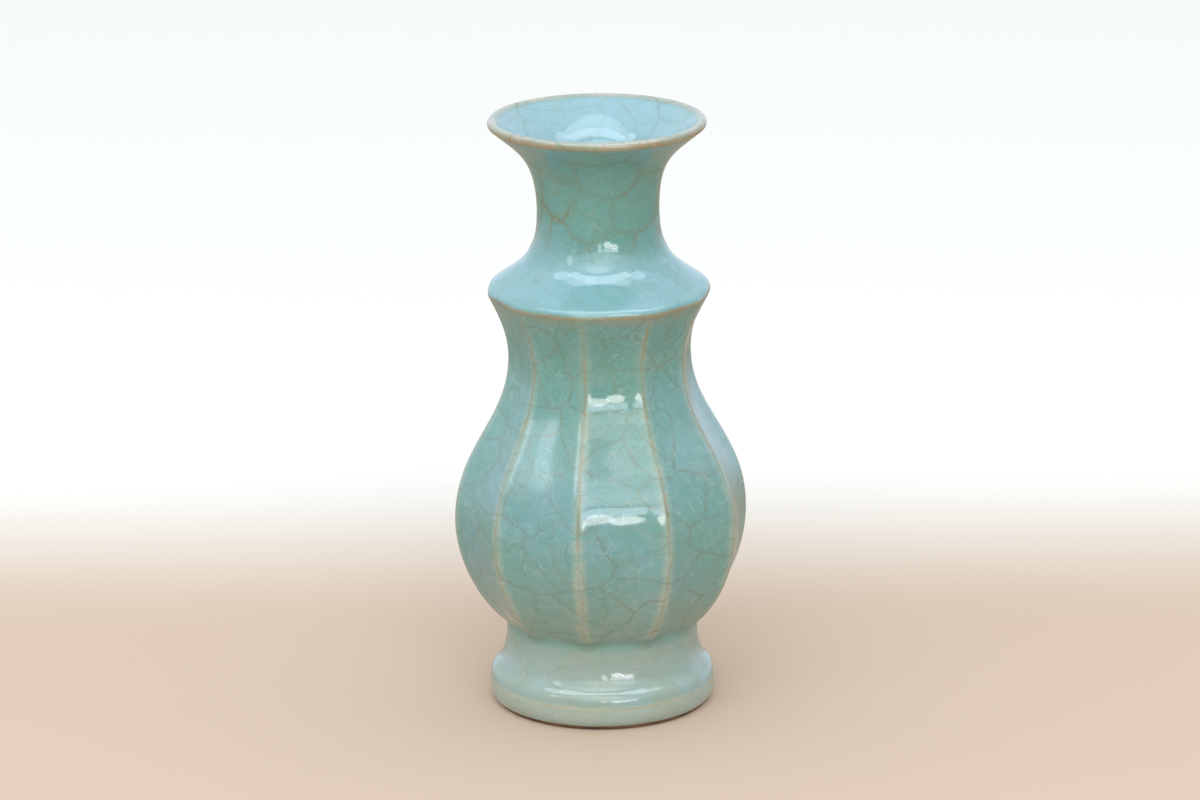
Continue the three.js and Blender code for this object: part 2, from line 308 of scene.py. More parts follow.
def glaze_rows():
    """Rows of the glaze's face, from the foot up the outside, over the lip and down to the floor."""
    root_slope = math.tan(math.radians(BODY_ROOT_LEAN))
    shown = []
    for point in foot_run[:-1]:
        continued = waist_radius - (foot_top - point.z) * root_slope
        shown.append((continued, point.z, eased(OUTSIDE_FLUTES, point.z), point.x, 0.0))
    for point in belly_run[:-1]:
        shown.append((point.x, point.z, eased(OUTSIDE_FLUTES, point.z), waist_radius, 0.0))
    for point in upper_run:
        shown.append((point.x, point.z, eased(OUTSIDE_FLUTES, point.z), 0.0, 0.0))
    for point in inside_run[-2::-1]:
        shown.append((point.x, point.z, eased(INSIDE_FLUTES, point.z), 0.0, 1.0))
    rows = []
    run = 0.0
    for radius, height, depth, least, inside in shown:
        row = Row(radius, height, depth, least, run, inside)
        if rows:
            run += math.hypot(reach(row) - reach(rows[-1]), height - rows[-1].height)
        rows.append(row._replace(run=run))
    return rows


def sunk(rows, depth):
    """The same rows moved to the left of their way, into the wall."""
    points = [Vector((reach(row), 0.0, row.height)) for row in rows]
    moved = []
    for index, row in enumerate(rows):
        before = points[max(index - 1, 0)]
        after = points[min(index + 1, len(points) - 1)]
        way = (after - before).normalized() * depth
        least = row.least - way.z if row.least else 0.0
        moved.append(row._replace(radius=row.radius - way.z, height=row.height + way.x, least=least))
    return moved


def turned(rows, steps, closed):
    """A bmesh turned round the axis from rows of a profile, which its vertices keep in layers."""
    bm = bmesh.new()
    layers = [bm.verts.layers.float.new(name) for name in Row._fields]
    verts = []
    for row in rows:
        vert = bm.verts.new((reach(row), 0.0, row.height))
        for layer, value in zip(layers, row):
            vert[layer] = value
        verts.append(vert)
    following = verts[1:] + verts[:1] if closed else verts[1:]
    edges = [bm.edges.new(pair) for pair in zip(verts, following)]
    bmesh.ops.spin(
        bm, geom=verts + edges, cent=(0, 0, 0), axis=(0, 0, 1), dvec=(0, 0, 0),
        angle=math.tau, steps=steps, use_merge=True, use_duplicate=False,
    )
    bmesh.ops.remove_doubles(bm, verts=bm.verts, dist=WELD)
    bmesh.ops.recalc_face_normals(bm, faces=bm.faces)
    return bm


def unevenness(angle, height, place):
    """How far hand-thrown clay stands proud of a true circle."""
    swing = -SHRUNK - OVAL * math.sin(2 * angle + OVAL_TURN + OVAL_TWIST * height)
    swing += THREE_LOBE * math.sin(3 * angle + LOBE_TURN + LOBE_TWIST * height)
    for amount, azimuth, middle in FULL_SIDES:
        turn = (angle - azimuth + math.pi) % math.tau - math.pi
        rise = (height - middle) / FULL_REACH
        swing += amount * math.exp(-(turn / FULL_WIDTH) ** 2 - rise ** 2)
    return swing + RIPPLE * noise.noise(place * RIPPLE_SCALE)


def blended(first, second):
    """The larger of two radii, swept round where they meet."""
    share = max(1 - abs(first - second) / ROOT_FILLET, 0)
    return max(first, second) + ROOT_FILLET * share * share / 4


def press_flutes(bm):
    """Hollows the flutes between rounded ridges and draws the mesh's columns towards the ridges."""
    layers = bm.verts.layers.float
    for vert in bm.verts:
        if math.hypot(vert.co.x, vert.co.y) < AXIS_REACH:
            continue
        ridge = max(vert[layers["radius"]], vert[layers["least"]])
        flutes = math.atan2(vert.co.x, -vert.co.y) * FLUTE_COUNT / math.tau
        offset = 2 * (flutes - round(flutes))
        from_ridge = 1 - abs(offset)
        from_ridge *= RIDGE_CROWDING + (1 - RIDGE_CROWDING) * from_ridge
        angle = (round(flutes) + math.copysign(1 - from_ridge, offset) / 2) * math.tau / FLUTE_COUNT
        half_pitch = math.pi * ridge / FLUTE_COUNT
        distance = math.hypot(from_ridge * half_pitch, RIDGE_SOFTNESS) - RIDGE_SOFTNESS
        furthest = math.hypot(half_pitch, RIDGE_SOFTNESS) - RIDGE_SOFTNESS
        hollow = 1 - (1 - distance / furthest) ** 2
        fluted = vert[layers["radius"]] - vert[layers["depth"]] * hollow
        radius = blended(fluted, vert[layers["least"]]) + unevenness(angle, vert.co.z, vert.co)
        vert.co.x = radius * math.sin(angle)
        vert.co.y = -radius * math.cos(angle)


def piece(name, bm, material, slot, *nodes):
    """Adds a finished piece of the vase that stands for some of the frame's nodes."""
    mesh = bpy.data.meshes.new(name)
    bm.to_mesh(mesh)
    bm.free()
    mesh.shade_smooth()
    mesh.materials.append(material)
    made = bpy.data.objects.new(name, mesh)
    bpy.context.scene.collection.objects.link(made)
    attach(made, "root")
    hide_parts(*nodes)


# The brightest display value, and the middle of a random colour in three directions and in two
DISPLAY_WHITE = 255
MIDDLE = (0.5, 0.5, 0.5)
FLAT_MIDDLE = (0.5, 0.5, 0.0)


def colour(red, green, blue):
    """A colour given in display values from 0 to 255, as the linear values that shaders take."""
    shown = Color((red / DISPLAY_WHITE, green / DISPLAY_WHITE, blue / DISPLAY_WHITE))
    return (*shown.from_srgb_to_scene_linear(), 1.0)


class Graph:
    """The node tree of one material, built up call by call."""

    def __init__(self, name):
        self.material = bpy.data.materials.new(name)
        self.material.use_nodes = True
        self.tree = self.material.node_tree
        self.surface = self.tree.nodes["Principled BSDF"]
        self.place = self.node("ShaderNodeTexCoord").outputs["Object"]

    def node(self, kind, inputs=None, **settings):
        """A new node with its settings, and its inputs by name or number."""
        made = self.tree.nodes.new(kind)
        for key, value in settings.items():
            setattr(made, key, value)
        for key, value in (inputs or {}).items():
            self.feed(made.inputs[key], value)
        return made

    def feed(self, socket, value):
        """Links a socket to another one, or sets it to a plain value."""
        if isinstance(value, bpy.types.NodeSocket):
            self.tree.links.new(value, socket)
        else:
            socket.default_value = value

    def attribute(self, name):
        """A number that the mesh's vertices keep."""
        return self.node("ShaderNodeAttribute", attribute_name=name).outputs["Fac"]

    def math(self, operation, *values):
        """One step of arithmetic."""
        return self.node("ShaderNodeMath", dict(enumerate(values)), operation=operation).outputs[0]

    def product(self, *values):
        """All the values multiplied."""
        total = values[0]
        for value in values[1:]:
            total = self.math("MULTIPLY", total, value)
        return total

    def most(self, *values):
        """The largest of the values."""
        total = values[0]
        for value in values[1:]:
            total = self.math("MAXIMUM", total, value)
        return total

    def vector(self, operation, *values):
        """One step of arithmetic on places or directions."""
        made = self.node("ShaderNodeVectorMath", operation=operation)
        for index, value in enumerate(values):
            self.feed(made.inputs["Scale" if operation == "SCALE" and index else index], value)
        return made.outputs["Vector"]

    def dot(self, first, second):
        """How far one direction goes along another."""
        made = self.node("ShaderNodeVectorMath", {0: first, 1: second}, operation="DOT_PRODUCT")
        return made.outputs["Value"]

    def smooth(self, value, start, end):
        """Rises from 0 at the start to 1 at the end, whichever is higher."""
        made = self.node(
            "ShaderNodeMapRange",
            {"Value": value, "From Min": start, "From Max": end},
            interpolation_type="SMOOTHSTEP",
        )
        return made.outputs["Result"]

    def between(self, value, rise, fall):
        """Rises over one span of the value and falls again over another."""
        return self.product(self.smooth(value, *rise), self.smooth(value, fall[1], fall[0]))

    def blend(self, share, low, high):
        """Goes from one number to another as the share goes from 0 to 1."""
        return self.math("MULTIPLY_ADD", share, high - low, low)

    def mix(self, share, first, second):
        """Goes from one colour to another as the share goes from 0 to 1."""
        made = self.node("ShaderNodeMix", {0: share, 6: first, 7: second}, data_type="RGBA")
        return made.outputs[2]

    def red(self, tone):
        """The red part of a colour."""
        return self.node("ShaderNodeSeparateColor", {0: tone}).outputs[0]

    def cloudy(self, scale, detail):
        """A node of cloudy noise through the vase."""
        inputs = {"Vector": self.place, "Scale": scale, "Detail": detail}
        return self.node("ShaderNodeTexNoise", inputs).outputs

    def noise(self, scale, detail):
        """Cloudy noise from 0 to 1."""
        return self.cloudy(scale, detail)["Fac"]

    def swirl(self, scale, detail):
        """Cloudy noise that points to all sides."""
        return self.vector("SUBTRACT", self.cloudy(scale, detail)["Color"], MIDDLE)

    def cells(self, feature, scale, place):
        """Cells on a surface that is spread out flat."""
        inputs = {"Vector": place, "Scale": scale}
        made = self.node("ShaderNodeTexVoronoi", inputs, feature=feature, voronoi_dimensions="2D")
        return made.outputs

    def bump(self, height, strength, distance):
        """The way the surface faces where a height raises it."""
        made = self.node("ShaderNodeBump", {"Strength": strength, "Distance": distance, "Height": height})
        return made.outputs["Normal"]

    def finish(self, **inputs):
        """Sets the shader's inputs and gives the material."""
        for key, value in inputs.items():
            self.feed(self.surface.inputs[key.replace("_", " ")], value)
        return self.material


# Colours of the glaze and the clay
GREEN_GLAZE = colour(113, 151, 143)
BLUE_GLAZE = colour(119, 156, 162)
# Painted skylight: paler and bluer on the shoulder's top, where light from above falls
SKYLIT_TOP_GLAZE = colour(132, 173, 180)
# Painted skylight: paler and bluer inside, where light from above falls into the mouth
SKYLIT_INNER_GLAZE = colour(143, 178, 186)
# Deeper green: painted shade under the shoulder and round the neck, pooled glaze with painted shade at the
# foot's waist, and the flakes' own tones
DEEP_TONE_AND_SHADE = colour(94, 144, 133)
OLIVE_GLAZE = colour(151, 162, 148)
FOOT_BLUE = colour(147, 171, 174)
THIN_GLAZE = colour(188, 183, 160)
STEM_GLAZE = colour(158, 154, 132)
LIP_GLAZE = colour(184, 175, 162)
TAN_EDGE = colour(152, 128, 92)
CREST = colour(152, 124, 84)
CRACK = colour(118, 110, 76)
FINE_CRACK = colour(168, 196, 192)
SPECK = colour(70, 74, 60)
CLAY = colour(122, 88, 62)
BURNT_CLAY = colour(78, 52, 36)
SLIP = colour(181, 154, 124)

# Noises that the glaze's layers share, by scale and detail, and the span of one that counts as worn
PATCHES = (60.0, 3.0)
WEAR = (34.0, 3.0)
WORN_SPAN = (0.36, 0.66)


class GlazeGraph(Graph):
    """The glaze's node tree, with the places and noises that its layers share and the tint laid so far."""

    def __init__(self, name):
        super().__init__(name)
        axes = self.node("ShaderNodeSeparateXYZ", {0: self.place}).outputs
        squares = [self.math("MULTIPLY", axes[axis], axes[axis]) for axis in ("X", "Y")]
        self.height = axes["Z"]
        self.radius = self.math("SQRT", self.math("ADD", *squares))
        self.angle = self.math("ARCTAN2", axes["X"], self.math("MULTIPLY", axes["Y"], -1.0))
        self.run = self.attribute("run")
        self.inside = self.attribute("inside")
        self.outside = self.math("SUBTRACT", 1.0, self.inside)
        self.patch = self.noise(*PATCHES)
        self.drift = self.math("SUBTRACT", self.patch, 0.5)
        self.worn = self.smooth(self.noise(*WEAR), *WORN_SPAN)
        self.tint = GREEN_GLAZE

    def lay(self, tone, *shares):
        """Lays a tint over the ones before it, as strongly as its shares multiplied."""
        self.tint = self.mix(self.product(*shares), self.tint, tone)


# Clouds of the glaze: their noise, and the spans of it and of the patches over which a tint comes in
CLOUDS = (16.0, 3.0)
BLUE_CLOUDS = (0.38, 0.64)
OLIVE_PATCHES = (0.5, 0.75)
FOOT_PATCHES = (0.42, 0.62)
STEM_PATCHES = (0.4, 0.65)

# Heights over which a tint comes in, and in a zone those over which it goes out again
# Where the painted skylight comes in and goes out on the shoulder's top
SKYLIT_TOP_ZONE = (
    (shoulder_height, shoulder_height + 4 * MM),
    (shoulder_height + 18 * MM, shoulder_height + 32 * MM),
)
STEM_ZONE = ((20 * MM, 28 * MM), (36 * MM, 41 * MM))
OLIVE_RISE = (100 * MM, 20 * MM)
FOOT_RISE = (40 * MM, 30 * MM)
BAND_RISE = (BAND_HEIGHT + 1.5 * MM, BAND_HEIGHT - 3.0 * MM)

# Zones of painted shade under the shoulder and round the neck, and of pooled glaze with painted shade at
# the foot's waist, each with its share
SHADE_AND_POOL_ZONES = [
    (0.5, (150 * MM, 190 * MM), (206 * MM, 222 * MM)),
    (0.62, (232 * MM, 258 * MM), (290 * MM, 304 * MM)),
    (0.45, (37 * MM, 42 * MM), (43 * MM, 48 * MM)),
]

# How strongly each tint lies over the ones before it
BLUE_SHARE = 0.75
# Strength of the painted skylight on the shoulder's top
SKYLIT_TOP_SHARE = 0.9
# Strength of the painted skylight inside
SKYLIT_INNER_SHARE = 0.92
OLIVE_SHARE = 0.85
FOOT_SHARE = 0.55
BAND_SHARE = 0.3
OLIVE_PATCH_SHARE = 0.22
STEM_SHARE = 0.4


def lay_clouds(glaze):
    """Lays clouds of green and blue, painted skylight on the shoulder's top and inside, painted shade under
    the shoulder and round the neck, pooled glaze with painted shade at the foot's waist, greyer at the
    foot.
    """
    height = glaze.height
    outside = glaze.outside
    glaze.lay(BLUE_GLAZE, glaze.smooth(glaze.noise(*CLOUDS), *BLUE_CLOUDS), BLUE_SHARE)
    # Painted skylight on the shoulder's top
    glaze.lay(SKYLIT_TOP_GLAZE, glaze.between(height, *SKYLIT_TOP_ZONE), outside, SKYLIT_TOP_SHARE)
    # Painted skylight inside
    glaze.lay(SKYLIT_INNER_GLAZE, glaze.inside, SKYLIT_INNER_SHARE)
    glaze.lay(OLIVE_GLAZE, glaze.smooth(height, *OLIVE_RISE), outside, OLIVE_SHARE)
    foot_patches = glaze.smooth(glaze.patch, *FOOT_PATCHES)
    glaze.lay(FOOT_BLUE, glaze.smooth(height, *FOOT_RISE), foot_patches, outside, FOOT_SHARE)
    glaze.lay(THIN_GLAZE, glaze.smooth(height, *BAND_RISE), outside, BAND_SHARE)
    # Painted shade under the shoulder and round the neck; pooled glaze with painted shade at the foot's
    # waist
    zones = [glaze.product(glaze.between(height, rise, fall), share) for share, rise, fall in SHADE_AND_POOL_ZONES]
    glaze.lay(DEEP_TONE_AND_SHADE, glaze.most(*zones), outside)
    glaze.lay(OLIVE_GLAZE, glaze.smooth(glaze.patch, *OLIVE_PATCHES), OLIVE_PATCH_SHARE)
    stem_patches = glaze.smooth(glaze.patch, *STEM_PATCHES)
    glaze.lay(STEM_GLAZE, glaze.between(height, *STEM_ZONE), stem_patches, outside, STEM_SHARE)


# Ridges: their heights, how they waver, and the widths and shares of the pale band and the brown crest
RIDGE_ZONE = ((43 * MM, 50 * MM), (208 * MM, 217 * MM))
LOWER_RIDGES = (120 * MM, 70 * MM)
MIDDLE_RIDGES = (190 * MM, 150 * MM)
RIDGE_WAVER = 0.05
PALE_WIDTH = (5.2 * MM, 0.3 * MM)
PALE_SHARES = (0.17, 0.35)
LOWER_PALE_SHARE = 0.18
CREST_WIDTH = (1.3 * MM, 0.1 * MM)
CREST_SHARES = (0.28, 0.73)
LOWER_CREST_SHARES = (1.0, 0.6)


def lay_ridges(glaze):
    """Thins the glaze to a pale band on each ridge, with a broken line of brown along the crest."""
    pitch = glaze.product(glaze.angle, FLUTE_COUNT / math.tau)
    waver = glaze.product(glaze.drift, RIDGE_WAVER)
    wavering = glaze.math("ADD", glaze.math("SUBTRACT", pitch, 0.5), waver)
    turn = glaze.math("WRAP", wavering, 0.5, -0.5)
    across = glaze.product(glaze.math("ABSOLUTE", turn), glaze.radius, math.tau / FLUTE_COUNT)
    ridged = glaze.product(glaze.between(glaze.height, *RIDGE_ZONE), glaze.outside)
    lower = glaze.smooth(glaze.height, *LOWER_RIDGES)
    middle = glaze.smooth(glaze.height, *MIDDLE_RIDGES)
    thinned = glaze.math("MULTIPLY_ADD", lower, LOWER_PALE_SHARE, glaze.blend(middle, *PALE_SHARES))
    pale = glaze.product(glaze.smooth(across, *PALE_WIDTH), ridged, thinned)
    glaze.lay(THIN_GLAZE, pale)
    crest = glaze.product(glaze.smooth(across, *CREST_WIDTH), ridged)
    glaze.lay(CREST, crest, glaze.blend(glaze.worn, *CREST_SHARES), glaze.blend(lower, *LOWER_CREST_SHARES))
    return pale


# Edges: how far their lines stray, their spans along the wall, and their shares from least to most worn
STRAY = 1.8 * MM
ARRIS_RISE = 0.6 * MM
ARRIS_WIDTH = (1.5 * MM, 0.4 * MM)
ARRIS_SHARES = (0.55, 0.9)
BLUSH_ZONE = ((-9.0 * MM, -0.5 * MM), (0.0, 1.0 * MM))
BLUSH_SHARES = (0.16, 0.54)
LIP_ZONE = ((-7.0 * MM, -5.0 * MM), (1.0 * MM, 4.0 * MM))
LIP_SHARE = 0.85
LIP_LINE_ZONE = ((-7.4 * MM, -5.6 * MM), (-3.4 * MM, -1.4 * MM))
LIP_LINE_SHARES = (0.68, 0.93)
CREASE_PALE_WIDTH = (1.6 * MM, 0.2 * MM)
CREASE_PALE_SHARE = 0.5
CREASE_WIDTH = (1.0 * MM, 0.1 * MM)
CREASE_SHARES = (0.12, 0.42)
END_RISE = (2.8 * MM, 1.6 * MM)
END_SHARE = 0.8


def from_shoulder_edge(row):
    """How far a row lies from the shoulder's edge."""
    return math.hypot(row.radius - shoulder_radius, row.height - shoulder_height)


def lay_edges(glaze, rows):
    """Browns the shoulder's edge and the blush below it, the lip, the foot's crease and the glaze's end."""
    outside = glaze.outside
    stray = glaze.product(glaze.drift, STRAY)
    along = glaze.math("ADD", glaze.run, stray)
    level = glaze.math("ADD", glaze.height, stray)
    arris_run = min(rows, key=from_shoulder_edge).run
    crown_run = max(rows, key=lambda row: row.height).run
    from_arris = glaze.math("SUBTRACT", along, arris_run + ARRIS_RISE)
    from_crown = glaze.math("SUBTRACT", glaze.run, crown_run)
    from_crease = glaze.math("ABSOLUTE", glaze.math("SUBTRACT", level, BAND_HEIGHT))
    blush = glaze.between(from_arris, *BLUSH_ZONE)
    glaze.lay(TAN_EDGE, blush, outside, glaze.blend(glaze.worn, *BLUSH_SHARES))
    glaze.lay(LIP_GLAZE, glaze.between(from_crown, *LIP_ZONE), LIP_SHARE)
    glaze.lay(THIN_GLAZE, glaze.smooth(from_crease, *CREASE_PALE_WIDTH), outside, CREASE_PALE_SHARE)
    arris_line = glaze.product(
        glaze.smooth(glaze.math("ABSOLUTE", from_arris), *ARRIS_WIDTH), outside,
        glaze.blend(glaze.worn, *ARRIS_SHARES))
    lip_line = glaze.product(
        glaze.between(glaze.math("ADD", from_crown, stray), *LIP_LINE_ZONE),
        glaze.blend(glaze.worn, *LIP_LINE_SHARES))
    crease_line = glaze.product(
        glaze.smooth(from_crease, *CREASE_WIDTH), outside, glaze.blend(glaze.worn, *CREASE_SHARES))
    end_line = glaze.product(glaze.smooth(level, *END_RISE), END_SHARE)
    brown = glaze.most(arris_line, lip_line, crease_line, end_line)
    glaze.lay(TAN_EDGE, brown)
    return brown


# The crackle's sheet: how wide it is spread on the body and elsewhere, its ends, and where it thins out
BODY_ZONE = ((42.0 * MM, 42.1 * MM), (216.0 * MM, 216.1 * MM))
BODY_SPREAD = 62 * MM
NECK_SPREAD = 40 * MM
SHEET_END = math.pi / FLUTE_COUNT
SHEET_FADE = 4 * MM
CURL = (85.0, 2.0)
CRACKED_RISE = (40 * MM, 56 * MM)
CRACKED_SHARES = (0.3, 1.0)

# A sheet's flat place on the surface, its crackled share, the body's part of it and the curl of its cracks
Sheet = namedtuple("Sheet", "flat crackled body curl")


def crackle_sheet(glaze):
    """The surface spread out flat for the crackle, with its cut along a ridge at the back."""
    body = glaze.product(glaze.between(glaze.height, *BODY_ZONE), glaze.outside)
    spread = glaze.blend(body, NECK_SPREAD, BODY_SPREAD)
    around = glaze.math("WRAP", glaze.math("ADD", glaze.angle, SHEET_END), math.pi, -math.pi)
    to_end = glaze.product(glaze.math("SUBTRACT", math.pi, glaze.math("ABSOLUTE", around)), spread)
    whole = glaze.smooth(to_end, 0.0, SHEET_FADE)
    above_foot = glaze.blend(glaze.smooth(glaze.height, *CRACKED_RISE), *CRACKED_SHARES)
    flat = glaze.node("ShaderNodeCombineXYZ", {"X": glaze.product(around, spread), "Y": glaze.run})
    return Sheet(flat.outputs["Vector"], glaze.product(whole, above_foot), body, glaze.swirl(*CURL))


# Stained cracks: how they sway and curl, and the scales of the long ones and of the short ones between them
SWAY = (20.0, 2.0)
CRACK_SWAY = 26 * MM
CRACK_CURL = 6 * MM
CRACK_STRETCH = (0.82, 1.16, 1.0)
LONG_SCALE = 42.0
SHORT_SCALE = 84.0
SHORT_SHIFT = 3.0

# Widths of the cracks, as shares of their cells, and how strongly the stain shows where it fades
STAIN = (45.0, 2.0)
HALO_WIDTH = (0.085, 0.0)
HALO_SHARE = 0.2
LONG_WIDTH = (0.03, 0.004)
LONG_STAIN = (0.36, 0.64)
LONG_SHARES = (0.2, 0.54)
SHORT_WIDTH = (0.05, 0.006)
SHORT_STAIN = (0.58, 0.4)
SHORT_SHARES = (0.1, 0.3)

# The stain is fainter inside and on top of the shoulder, and stronger and wider on the neck
INSIDE_STAIN_SHARES = (1.0, 0.6)
BARE_TOP_ZONE = (
    (shoulder_height, shoulder_height + 2 * MM),
    (shoulder_height + 20 * MM, shoulder_height + 34 * MM),
)
TOP_STAIN_SHARES = (1.0, 0.25)
NECK_STAIN_ZONE = ((236 * MM, 250 * MM), (286 * MM, 298 * MM))
NECK_STAIN_SHARES = (1.0, 1.4)
NECK_EDGE_SHARES = (1.0, 0.55)


def lay_stained_cracks(glaze, sheet):
    """Lays long stained cracks and shorter ones that stop at them; gives the share of the long ones."""
    bent = glaze.vector("ADD", sheet.flat, glaze.vector("SCALE", glaze.swirl(*SWAY), CRACK_SWAY))
    bent = glaze.vector("ADD", bent, glaze.vector("SCALE", sheet.curl, CRACK_CURL))
    bent = glaze.vector("MULTIPLY", bent, CRACK_STRETCH)
    bare_top = glaze.product(glaze.between(glaze.height, *BARE_TOP_ZONE), glaze.outside)
    on_neck = glaze.product(glaze.between(glaze.height, *NECK_STAIN_ZONE), glaze.outside)
    stained = glaze.product(
        sheet.crackled,
        glaze.blend(glaze.inside, *INSIDE_STAIN_SHARES),
        glaze.blend(bare_top, *TOP_STAIN_SHARES),
        glaze.blend(on_neck, *NECK_STAIN_SHARES),
    )
    stain = glaze.noise(*STAIN)
    long_edge = glaze.product(
        glaze.cells("DISTANCE_TO_EDGE", LONG_SCALE, bent)["Distance"],
        glaze.blend(on_neck, *NECK_EDGE_SHARES))
    halo = glaze.product(glaze.smooth(long_edge, *HALO_WIDTH), HALO_SHARE)
    long_line = glaze.product(
        glaze.smooth(long_edge, *LONG_WIDTH),
        glaze.blend(glaze.smooth(stain, *LONG_STAIN), *LONG_SHARES))
    long_cracks = glaze.product(glaze.most(halo, long_line), stained)
    own_shift = glaze.vector("SCALE", glaze.cells("F1", LONG_SCALE, bent)["Color"], SHORT_SHIFT)
    shifted = glaze.vector("ADD", bent, own_shift)
    short_edge = glaze.cells("DISTANCE_TO_EDGE", SHORT_SCALE, shifted)["Distance"]
    short_cracks = glaze.product(
        glaze.smooth(short_edge, *SHORT_WIDTH), stained,
        glaze.blend(glaze.smooth(stain, *SHORT_STAIN), *SHORT_SHARES))
    glaze.lay(CRACK, glaze.most(long_cracks, short_cracks))
    return long_cracks


# Flakes of the fine crackle: their scale and curl, where they lift, and their arcs, edges and tones
FLAKE_SCALE = 150.0
FLAKE_CURL = 10 * MM
LIFT = (70.0, 2.0)
LIFTED_SPAN = (0.38, 0.64)
ARC_REACH = 0.42
ARC_WIDTH = (0.08, 0.0)
ARC_SIDE = (0.04, 0.16)
ARC_SHARE = 0.36
FLAKE_EDGE_WIDTH = (0.06, 0.01)
FLAKE_EDGE_SHARES = (0.03, 0.16)
FINE_BODY_SHARES = (0.5, 1.0)
FLAKE_TONE_SHARES = (0.07, 0.34)


def lay_fine_crackle(glaze, sheet):
    """Lays flakes of slightly different tone, each with a pale arc to one side; gives the lines' share."""
    curled = glaze.vector("ADD", sheet.flat, glaze.vector("SCALE", sheet.curl, FLAKE_CURL))
    flakes = glaze.cells("F1", FLAKE_SCALE, curled)
    offset = glaze.vector("SUBTRACT", curled, flakes["Position"])
    side = glaze.vector("SUBTRACT", flakes["Color"], FLAT_MIDDLE)
    toward = glaze.product(glaze.dot(offset, side), FLAKE_SCALE)
    off_arc = glaze.math("ABSOLUTE", glaze.math("SUBTRACT", flakes["Distance"], ARC_REACH))
    edge = glaze.cells("DISTANCE_TO_EDGE", FLAKE_SCALE, curled)["Distance"]
    lifted = glaze.smooth(glaze.noise(*LIFT), *LIFTED_SPAN)
    arcs = glaze.product(
        glaze.smooth(off_arc, *ARC_WIDTH), glaze.smooth(toward, *ARC_SIDE), lifted, ARC_SHARE)
    edges = glaze.product(
        glaze.smooth(edge, *FLAKE_EDGE_WIDTH), glaze.blend(lifted, *FLAKE_EDGE_SHARES))
    lines = glaze.product(
        glaze.most(arcs, edges), sheet.crackled, glaze.blend(sheet.body, *FINE_BODY_SHARES))
    tone = glaze.red(flakes["Color"])
    glaze.lay(DEEP_TONE_AND_SHADE, tone, sheet.crackled, glaze.blend(glaze.outside, *FLAKE_TONE_SHARES))
    glaze.lay(FINE_CRACK, lines)
    return lines


# Specks and grain: the scale of the specks, how rare and how large they are, and how strongly both show
SPECK_SCALE = 260.0
SPECK_RARITY = 0.985
SPECK_WIDTH = (0.15, 0.07)
SPECK_SHARE = 0.5
GRAIN = (420.0, 2.0)
GRAIN_SPAN = (0.52, 0.8)
GRAIN_SHARE = 0.14


def lay_specks(glaze):
    """Lays rare dark specks and a faint pale grain."""
    inputs = {"Vector": glaze.place, "Scale": SPECK_SCALE}
    dots = glaze.node("ShaderNodeTexVoronoi", inputs, feature="F1").outputs
    rare = glaze.math("GREATER_THAN", glaze.red(dots["Color"]), SPECK_RARITY)
    glaze.lay(SPECK, glaze.smooth(dots["Distance"], *SPECK_WIDTH), rare, SPECK_SHARE)
    glaze.lay(THIN_GLAZE, glaze.smooth(glaze.noise(*GRAIN), *GRAIN_SPAN), GRAIN_SHARE)


# Relief of the glaze: waves, dimples and pores, the cracks' depth, and the strength and height of it all
WAVES = (75.0, 2.0)
DIMPLES = (230.0, 2.0)
DIMPLE_SHARE = 0.2
PORES = (560.0, 1.0)
PORE_SHARE = 0.09
CRACK_DEPTH = 0.12
GLAZE_RELIEF = 0.45
GLAZE_RELIEF_HEIGHT = 0.22 * MM

# Gloss of the glaze: its roughness where it is thick and where it is thin or brown
GLAZE_ROUGHNESS = (0.062, 0.202)
GLAZE_IOR = 1.5


def glaze_relief(glaze, cracks):
    """The unevenness of the glaze's face, with the cracks sunk in it."""
    relief = glaze.math("ADD", glaze.noise(*WAVES), glaze.product(glaze.noise(*DIMPLES), DIMPLE_SHARE))
    relief = glaze.math("ADD", relief, glaze.product(glaze.noise(*PORES), PORE_SHARE))
    relief = glaze.math("SUBTRACT", relief, glaze.product(cracks, CRACK_DEPTH))
    return glaze.bump(relief, GLAZE_RELIEF, GLAZE_RELIEF_HEIGHT)


def glaze_material(rows):
    """Glossy celadon: thin and pale over the edges, pooled at the foot's waist, with painted skylight and
    shade, and crackled.
    """
    glaze = GlazeGraph("celadon_glaze")
    lay_clouds(glaze)
    pale = lay_ridges(glaze)
    brown = lay_edges(glaze, rows)
    sheet = crackle_sheet(glaze)
    long_cracks = lay_stained_cracks(glaze, sheet)
    fine_lines = lay_fine_crackle(glaze, sheet)
    lay_specks(glaze)
    return glaze.finish(
        Base_Color=glaze.tint,
        Roughness=glaze.blend(glaze.most(brown, pale), *GLAZE_ROUGHNESS),
        IOR=GLAZE_IOR,
        Normal=glaze_relief(glaze, glaze.most(long_cracks, fine_lines)),
    )


# Bare clay and slip: the scales of their mottle, its grain, and their relief and roughness
CLAY_SCALE = 40.0
SLIP_SCALE = 60.0
MOTTLE_DETAIL = 5.0
MOTTLE_SPAN = (0.3, 0.7)
CLAY_GRAIN_FINENESS = 14
CLAY_GRAIN_DETAIL = 3.0
CLAY_GRAIN_SPAN = (0.6, 0.75)
CLAY_GRAIN_SHARE = 0.4
CLAY_RELIEF = 0.4
CLAY_RELIEF_HEIGHT = 0.3 * MM
CLAY_ROUGHNESS = 0.85


